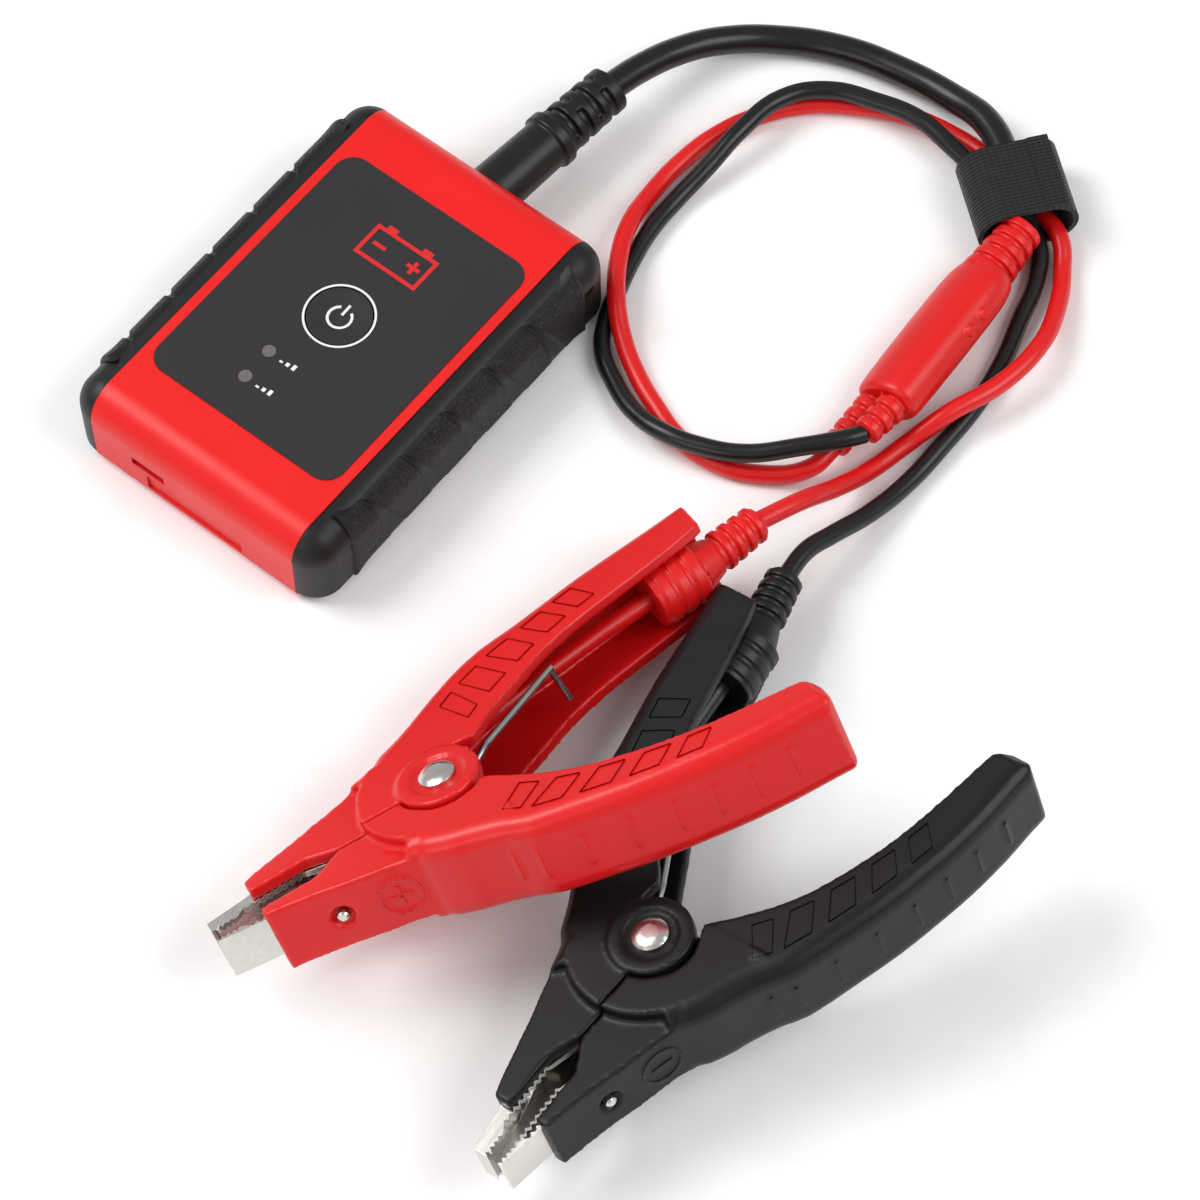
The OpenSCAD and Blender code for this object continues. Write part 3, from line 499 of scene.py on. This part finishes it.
def makeGrip(side, name, x1, z):
    # a textured pad over the bumper's outer side, crossed by smooth leaning notches
    g = gripSet
    r, foot = bumperSet["endRound"] * mm, bumperSet["footRound"] * mm
    y0, length, share = g["from"], g["to"] - g["from"], g["topShare"]
    narrow, wide = g["notchWidth"]
    slopeFrom, slope = g["notchSlope"]
    bm = bmesh.new()
    bmesh.ops.create_grid(bm, x_segments=g["columns"], y_segments=g["rows"], size=1.0)
    pad = bm.verts.layers.float.new("pad")
    for v in bm.verts:
        u, w = (v.co.x + 1) / 2, (1 - v.co.y) / 2
        if w < share:
            angle = math.radians(g["topSweep"] * (1 - w / share))
            out = Vector((math.cos(angle), 0, math.sin(angle)))
            place = Vector((x1 - r, 0, z - r)) + out * r
        else:
            out = Vector((1, 0, 0))
            down = (w - share) / (1 - share)
            place = Vector((x1, 0, (z - r) + (foot + g["footGap"] * mm - z + r) * down))
        y = y0 + length * u
        near = min(abs(y - n - g["lean"] * (w - 0.5)) / (narrow + wide * w ** g["notchTaper"])
                   for n in g["notches"])
        raised = min(1.0, max(0.0, (near - slopeFrom) / slope))
        raised = raised * raised * (3 - 2 * raised)
        toEdge = min(u * length, (1 - u) * length, w * g["across"], (1 - w) * g["across"])
        rim = min(1.0, toEdge / g["edgeRound"])
        height = (g["base"] + g["rise"] * raised) * math.sqrt(max(0.0, 1 - (1 - rim) ** 2)) - g["sunk"]
        v[pad] = raised * rim
        corner = max(0.0, g["cornerReach"] - min(u, 1 - u) * length) / g["cornerReach"]
        place += Vector((0, 0, (0.5 - w) * g["cornerPull"] * mm * corner * corner))
        v.co = place + out * (height * mm) + Vector((0, y * mm, 0))
    bmesh.ops.scale(bm, vec=(side, 1, 1), verts=bm.verts)
    if sum(f.normal.x * side for f in bm.faces) < 0:
        bmesh.ops.reverse_faces(bm, faces=bm.faces)
    # a skirt and a back close the pad inside the bumper
    inward, down = (v * mm for v in g["skirt"])
    made = bmesh.ops.extrude_edge_only(bm, edges=[e for e in bm.edges if e.is_boundary])["geom"]
    skirt = [item for item in made if isinstance(item, bmesh.types.BMVert)]
    bmesh.ops.translate(bm, verts=skirt, vec=(-side * inward, 0, -down))
    bmesh.ops.contextual_create(bm, geom=[e for e in bm.edges if e.is_boundary])
    bmesh.ops.recalc_face_normals(bm, faces=bm.faces)
    publish(bm, name, "tester", "grip", (), 60)


powerSet = {"radii": (2.5, 3.15), "start": 122, "sweep": 296, "steps": 48, "stem": (0.32, 0.8, 3.9),
            "thick": 0.06, "level": 23.3, "flatTo": 2.15, "dish": 0.1}
batterySet = {"at": (0.0, 20.5),
              "bars": ((-9, 9, -5.2, -4.2), (-9, 9, 3.2, 4.2), (-9, -8, -4.2, 3.2), (8, 9, -4.2, 3.2),
                       (-6.6, -3.8, 4.2, 5.4), (3.8, 6.6, 4.2, 5.4), (-6.8, -3.2, -1.0, 0.0),
                       (3.2, 6.8, -1.0, 0.0), (4.5, 5.5, 0.0, 1.3), (4.5, 5.5, -2.3, -1.0))}
markSet = {"rows": (-17.15, -25.5), "from": -3.0, "step": 1.7, "count": 3, "width": 0.9, "below": 0.75,
           "rise": 0.5}


def makePrints():
    low, high = ((testerSet["panelTop"] + v) * mm for v in testerSet["ink"])
    centre = [v * mm for v in ringSet["at"]]
    inner, outer = (v * mm for v in ringSet["radii"])
    bm = bmesh.new()
    arcBand(bm, centre, inner, outer, 0, math.tau, low, high, ringSet["steps"])
    publish(bm, "buttonRing", "tester", "white", (), 40)

    # the power sign follows the button's dished top
    p = powerSet
    inner, outer = (v * mm for v in p["radii"])
    halfStem, stemFrom, stemTo = (v * mm for v in p["stem"])
    thick = p["thick"] * mm
    bm = bmesh.new()
    arcBand(bm, centre, inner, outer, math.radians(p["start"]), math.radians(p["sweep"]), 0, thick, p["steps"])
    boxed(bm, (centre[0] - halfStem, centre[1] + stemFrom, 0), (centre[0] + halfStem, centre[1] + stemTo, thick))
    for v in bm.verts:
        reach = max(0.0, math.hypot(v.co.x - centre[0], v.co.y - centre[1]) / mm - p["flatTo"])
        v.co.z += (p["level"] + p["dish"] * reach) * mm
    publish(bm, "powerSign", "button", "white", (), 40)

    # a plain battery sign in place of lettering
    bx, by = batterySet["at"]
    bm = bmesh.new()
    for x0, x1, y0, y1 in batterySet["bars"]:
        boxed(bm, ((bx + x0) * mm, (by + y0) * mm, low), ((bx + x1) * mm, (by + y1) * mm, high))
    publish(bm, "batterySign", "tester", "printRed", (), 40)

    # rising bars beside each indicator
    m = markSet
    bm = bmesh.new()
    for y in m["rows"]:
        for k in range(m["count"]):
            x, base = m["from"] + k * m["step"], y - m["below"]
            boxed(bm, (x * mm, base * mm, low), ((x + m["width"]) * mm, (base + m["rise"] * (k + 1)) * mm, high))
    publish(bm, "indicatorMarks", "tester", "white", (), 40)


makeShells()
makeSleeve()
makeBumpers()
makePrints()
refined("front_overlay", "frontOverlay", "tester", "film")
refined("power_button", "powerButton", "button", "film", 20, 0)
refined("status_window", "statusWindow", "tester", "lens")
refined("power_window", "powerWindow", "tester", "lens")
moulded("cable_gland", "cableGland", "tester", "moulded", 0.3, 2)
print("stage: tester made")

# splitter and strap

splitterSet = {"from": (106.2, 65.5, 8), "turn": 2.9, "half": (8.9, 6.45), "square": 2.3, "lean": -40,
               "profile": [(0, 0.80), (0.5, 0.89), (1.3, 0.945), (3, 0.965), (10, 0.99), (22, 1.0), (34, 0.985),
                           (38, 0.955), (40.5, 0.90), (42.3, 0.82), (43.4, 0.70)],
               "nubs": [(-1, 30.5), (-1, 36.0), (1, 24.5), (1, 30.0)], "nubFrom": 6.5, "nubProud": 0.7,
               "nubRadii": (1.7, 1.3), "ribFrom": 0.28, "ribTo": 0.90, "ribTaper": 0.15, "core": (1.1, 0.9),
               # start, end, radius at each, and number of ribs of the neck and of each lead's boot
               "ribbed": (((104, 106, 8.0), (103.6, 123.2, 9.4), 6.2, 4.9, 5),
                          ((109, 69, 10.4), (108.2, 55, 10.7), 4.1, 3.3, 4),
                          ((103.4, 69, 5.6), (103, 50.5, 5.3), 4.1, 3.3, 5)),
               "voxel": 0.28, "floor": 0.1}


def makeSplitter():
    s = splitterSet
    bm = bmesh.new()
    ring = bmesh.ops.create_circle(bm, cap_ends=False, segments=64, radius=1.0)["verts"]
    power = 2 / s["square"]
    for v in ring:
        x, y = (math.copysign(abs(value) ** power, value) for value in v.co.xy)
        v.co = Vector((x * s["half"][0], y * s["half"][1], 0))
    flat = [v.co.copy() for v in ring]
    edges = list({e for v in ring for e in v.link_edges})
    bmesh.ops.edgeloop_fill(bm, edges=edges)
    for v, spot in zip(ring, flat):
        v.co = spot * s["profile"][0][1]
    rise, width = s["profile"][0]
    for along, size in s["profile"][1:]:
        made = bmesh.ops.extrude_edge_only(bm, edges=edges)["geom"]
        loop = [item for item in made if isinstance(item, bmesh.types.BMVert)]
        edges = [item for item in made if isinstance(item, bmesh.types.BMEdge)]
        bmesh.ops.scale(bm, vec=(size / width, size / width, 1), verts=loop)
        bmesh.ops.translate(bm, verts=loop, vec=(0, 0, along - rise))
        rise, width = along, size
    bmesh.ops.edgeloop_fill(bm, edges=edges)
    for side, along in s["nubs"]:
        rod(bm, (side * s["nubFrom"], 0, along), (side * (s["half"][0] + s["nubProud"]), 0, along),
            *s["nubRadii"], 24)
    turn = (Matrix.Rotation(math.radians(s["turn"]), 4, "Z") @ Matrix.Rotation(math.radians(-90), 4, "X")
            @ Matrix.Rotation(math.radians(s["lean"]), 4, "Z"))
    bmesh.ops.transform(bm, matrix=Matrix.Translation(s["from"]) @ turn, verts=bm.verts)
    bmesh.ops.recalc_face_normals(bm, faces=bm.faces)
    for a, b, wide, narrow, count in s["ribbed"]:
        a, b = Vector(a), Vector(b)
        rod(bm, a, b, wide - s["core"][0], narrow - s["core"][1], 48)
        for k in range(count):
            low, high = (k + s["ribFrom"]) / count, (k + s["ribTo"]) / count
            size = wide + (narrow - wide) * low
            rod(bm, a.lerp(b, low), a.lerp(b, high), size, size - s["ribTaper"], 48)
    bmesh.ops.transform(bm, matrix=Matrix.Scale(mm, 4), verts=bm.verts)
    remeshed(bm, s["voxel"] * mm)
    eased(bm, 2)
    for v in bm.verts:
        v.co.z = max(v.co.z, s["floor"] * mm)
    return publish(bm, "leadSplitter", "tester", "redMoulded", ("lead_splitter",), 70, 0)


splitter = makeSplitter()
strap = refined("cable_strap", "cableStrap", "tester", "strap", 34)
print("stage: splitter and strap made")

# clamps

clampSet = {
    "red": {"at": (107.11, -83.18, 17.1), "turn": (7.82, -30.78, -25.69)},
    "black": {"at": (158.48, -79.2, 8.5), "turn": (2.37, -15.85, -0.23)},
    "thick": 22.0, "cheekFrom": 9.0, "cheekSkin": 0.03,
    "outline": 0.8, "proud": 0.32, "sunk": 0.25, "edge": 0.16,
    # where a frame's corners lie, across the handle and along it
    "across": (0.32, 0.80), "along": (0.62, 0.98, 0.40),
    "fixedOuter": [(-29.5, 8.5), (-33.5, 15.5), (-36.8, 23.5), (-38.5, 34), (-40.5, 43), (-42.3, 51.5)],
    "fixedInner": [(-7.2, 11.2), (-11.5, 16.5), (-17, 26), (-22, 34.5), (-25.5, 44), (-27.5, 52)],
    "movingOuter": [(27.5, 4), (31, 9), (35, 20), (38.7, 31), (41.3, 41.5), (43.2, 50.5)],
    "movingInner": [(12.1, 12.3), (17.8, 18.6), (22.8, 25.9), (26.8, 34.6), (30.2, 44), (32.4, 52.7)],
}


def clampFrame(colour):
    c = clampSet[colour]
    rx, ry, rz = (math.radians(v) for v in c["turn"])
    turn = Matrix.Rotation(rz, 4, "Z") @ Matrix.Rotation(ry, 4, "Y") @ Matrix.Rotation(rx, 4, "X")
    return Matrix.Translation(Vector(c["at"]) * mm) @ turn


def flatCheeks(bm, place):
    # the handle's cheeks stay flat under the raised frames
    back = place.inverted()
    skin = clampSet["cheekSkin"] * mm
    for v in bm.verts:
        spot = back @ v.co
        if spot.y > clampSet["cheekFrom"] * mm:
            spot.z = min(max(spot.z, skin), clampSet["thick"] * mm - skin)
            v.co = place @ spot


def makeOutlines(colour, half, body):
    # raised leaning frames along both cheeks of a handle
    c = clampSet
    outer, inner = ([Vector((*p, 0)) for p in c[half + side]] for side in ("Outer", "Inner"))
    bm = bmesh.new()
    for level, sign in ((0.0, -1), (c["thick"], 1)):
        for i in range(len(outer) - 1):
            low, high = ([outer[k].lerp(inner[k], share) for k in (i, i + 1)] for share in c["across"])
            corners = (low[0], low[0].lerp(low[1], c["along"][0]), high[0].lerp(high[1], c["along"][1]),
                       high[0].lerp(high[1], c["along"][2]))
            face = bm.faces.new([bm.verts.new(p + Vector((0, 0, level - sign * c["sunk"]))) for p in corners])
            bmesh.ops.inset_region(bm, faces=[face], thickness=c["outline"], depth=0, use_even_offset=True,
                                   use_boundary=True)
            ring = [f for e in face.edges for f in e.link_faces if f is not face]
            bmesh.ops.delete(bm, geom=[face], context="FACES_ONLY")
            made = bmesh.ops.extrude_face_region(bm, geom=ring)["geom"]
            bmesh.ops.translate(bm, verts=[item for item in made if isinstance(item, bmesh.types.BMVert)],
                                vec=(0, 0, sign * (c["proud"] + c["sunk"])))
    bmesh.ops.recalc_face_normals(bm, faces=bm.faces)
    edges = [e for e in bm.edges if len(e.link_faces) == 2 and e.calc_face_angle() > 1.0]
    bmesh.ops.bevel(bm, geom=edges, offset=c["edge"], offset_type="OFFSET", affect="EDGES", segments=2, profile=0.5,
                    material=-1, clamp_overlap=True)
    bmesh.ops.transform(bm, matrix=clampFrame(colour) @ Matrix.Scale(mm, 4), verts=bm.verts)
    bmesh.ops.recalc_face_normals(bm, faces=bm.faces)
    publish(bm, colour + half.capitalize() + "Outlines", body, colour + "Clamp", (), 45, 0)


ribSet = {"outer": [(25, -0.5), (27.5, 4), (31, 9), (35, 20), (38.7, 31), (41.3, 41.5), (43.2, 50.5), (44.5, 60.5),
                    (45, 70)], "from": 1.0, "step": 0.9, "count": 8, "radius": 0.5, "span": (7.2, 14.8),
          "shift": -0.05}
signSet = {"at": (15.1, -19.5, 11), "lean": -17, "radii": (4.25, 5.0), "bar": (0.4, 2.6), "sunk": -0.4,
           "ringTop": 0.72, "barTop": 0.68}


def makeRibs(colour, body):
    # short ribs down the back of the moving handle, and its pole sign
    r = ribSet
    bm = bmesh.new()
    for k in range(r["count"]):
        place = r["from"] + r["step"] * k
        i = int(place)
        a, b = Vector((*r["outer"][i], 0)), Vector((*r["outer"][min(i + 1, len(r["outer"]) - 1)], 0))
        spot = a.lerp(b, place - i)
        low, high = (spot + Vector((0, 0, level)) for level in r["span"])
        made = rod(bm, low, high, r["radius"], None, 12)
        bmesh.ops.translate(bm, verts=made, vec=(r["shift"], 0, 0))
    s = signSet
    thin, long = s["bar"]
    sign = bmesh.new()
    arcBand(sign, (0, 0), *s["radii"], 0, math.tau, s["sunk"], s["ringTop"], 64)
    boxed(sign, (-thin, -long, s["sunk"]), (thin, long, s["barTop"]))
    if colour == "red":
        boxed(sign, (-long, -thin, s["sunk"]), (long, thin, s["barTop"]))
    turn = Matrix.Rotation(math.radians(s["lean"]), 4, "Z") @ Matrix.Rotation(math.radians(90), 4, "Y")
    bmesh.ops.transform(sign, matrix=Matrix.Translation(s["at"]) @ turn, verts=sign.verts)
    step = bpy.data.meshes.new("signStep")
    sign.to_mesh(step)
    sign.free()
    bm.from_mesh(step)
    bpy.data.meshes.remove(step)
    bmesh.ops.transform(bm, matrix=clampFrame(colour) @ Matrix.Scale(mm, 4), verts=bm.verts)
    publish(bm, colour + "HandleRibs", body, colour + "Clamp", (), 40, 0)


eyeletSet = {"foot": (6.2, -30.4), "head": (11.7, -32.2), "crown": (12.1, -32.33), "middle": 11, "radius": 1.3,
             "crownRadius": 0.8}


def makeEyelet(colour, node, name, body, side):
    # the small rivet at the bottom of its recess
    e = eyeletSet
    foot, head, crown = ((side * e[key][0], e[key][1], e["middle"]) for key in ("foot", "head", "crown"))
    bm = bmesh.new()
    rod(bm, head, foot, e["radius"], None, 32)
    rod(bm, crown, head, e["crownRadius"], e["radius"], 32)
    bmesh.ops.transform(bm, matrix=clampFrame(colour) @ Matrix.Scale(mm, 4), verts=bm.verts)
    publish(bm, name, body, "nickel", (node,), 40, 0)


endSet = {"back": 1.5, "cuts": (((41, 76, 22), (0, 1, 1)), ((41, 76, 0), (0, 1, -1)), ((45.5, 76, 11), (1, 1, 0)),
                                ((36.7, 76, 11), (-1, 1, 0)))}


def endTrim(colour):
    # cuts that take the corners off the moving handle's end
    place = clampFrame(colour)
    turn = place.to_3x3()
    cuts = []
    for spot, normal in endSet["cuts"]:
        normal = Vector(normal).normalized()
        cuts.append((place @ ((Vector(spot) - normal * endSet["back"]) * mm), turn @ normal))
    return cuts


# finish and slot of each part; a capital or an underscore takes the clamp's colour before it
clampFinish = {
    "fixed_handle": ("Clamp", "_clamp"), "moving_handle": ("Clamp", "_clamp"),
    "fixed_jaw": ("nickel", "nickel"), "moving_jaw": ("nickel", "nickel"), "pivot_rivet": ("nickel", "nickel"),
    "spring": ("wire", "spring_steel"), "spring_leg": ("wire", "spring_steel"),
    "cable_boot": ("Moulded", "_rubber"), "lead_tail": ("Jacket", "_rubber"),
    "fixed_jaw_rivet": ("nickel", "nickel"), "moving_jaw_rivet": ("nickel", "nickel"),
}
movingParts = ("moving_handle", "moving_jaw", "moving_jaw_rivet", "spring_leg")
finishes["blackMoulded"] = finishes["moulded"]
finishes["blackJacket"] = finishes["jacket"]
for colour in ("red", "black"):
    for part, (finish, slotName) in clampFinish.items():
        node = colour + "_" + part
        words = node.split("_")
        name = words[0] + "".join(w.capitalize() for w in words[1:])
        body = colour + "_clamp" if part in movingParts else "tester"
        full = colour + finish if finish[0].isupper() else finish
        slotName = colour + slotName if slotName[0] == "_" else slotName
        if part.endswith("_handle"):
            moving = part == "moving_handle"
            moulded(node, name, body, full, 0.45, 5, endTrim(colour) if moving else (), clampFrame(colour))
            makeOutlines(colour, "moving" if moving else "fixed", body)
            if moving:
                makeRibs(colour, body)
        elif part.endswith("jaw_rivet"):
            makeEyelet(colour, node, name, body, 1 if part in movingParts else -1)
        elif part == "cable_boot":
            moulded(node, name, body, full, 0.25, 2)
        else:
            refined(node, name, body, full, 38)
print("stage: clamps made")

# inner parts keep their CAD shape

inner = {"circuit_board": "board", "tact_switch": "dark", "indicator_leds": "led", "usb_socket": "steel",
         "wireless_module": "steel", "processor_chip": "dark", "load_transistors": "dark", "cable_terminals": "brass",
         "case_screws": "steel", "cable_tail": "jacket"}
for node, finish in inner.items():
    mesh = nodes[node].data
    mesh.materials.clear()
    mesh.materials.append(finishes[finish])
print("stage: inner parts finished")
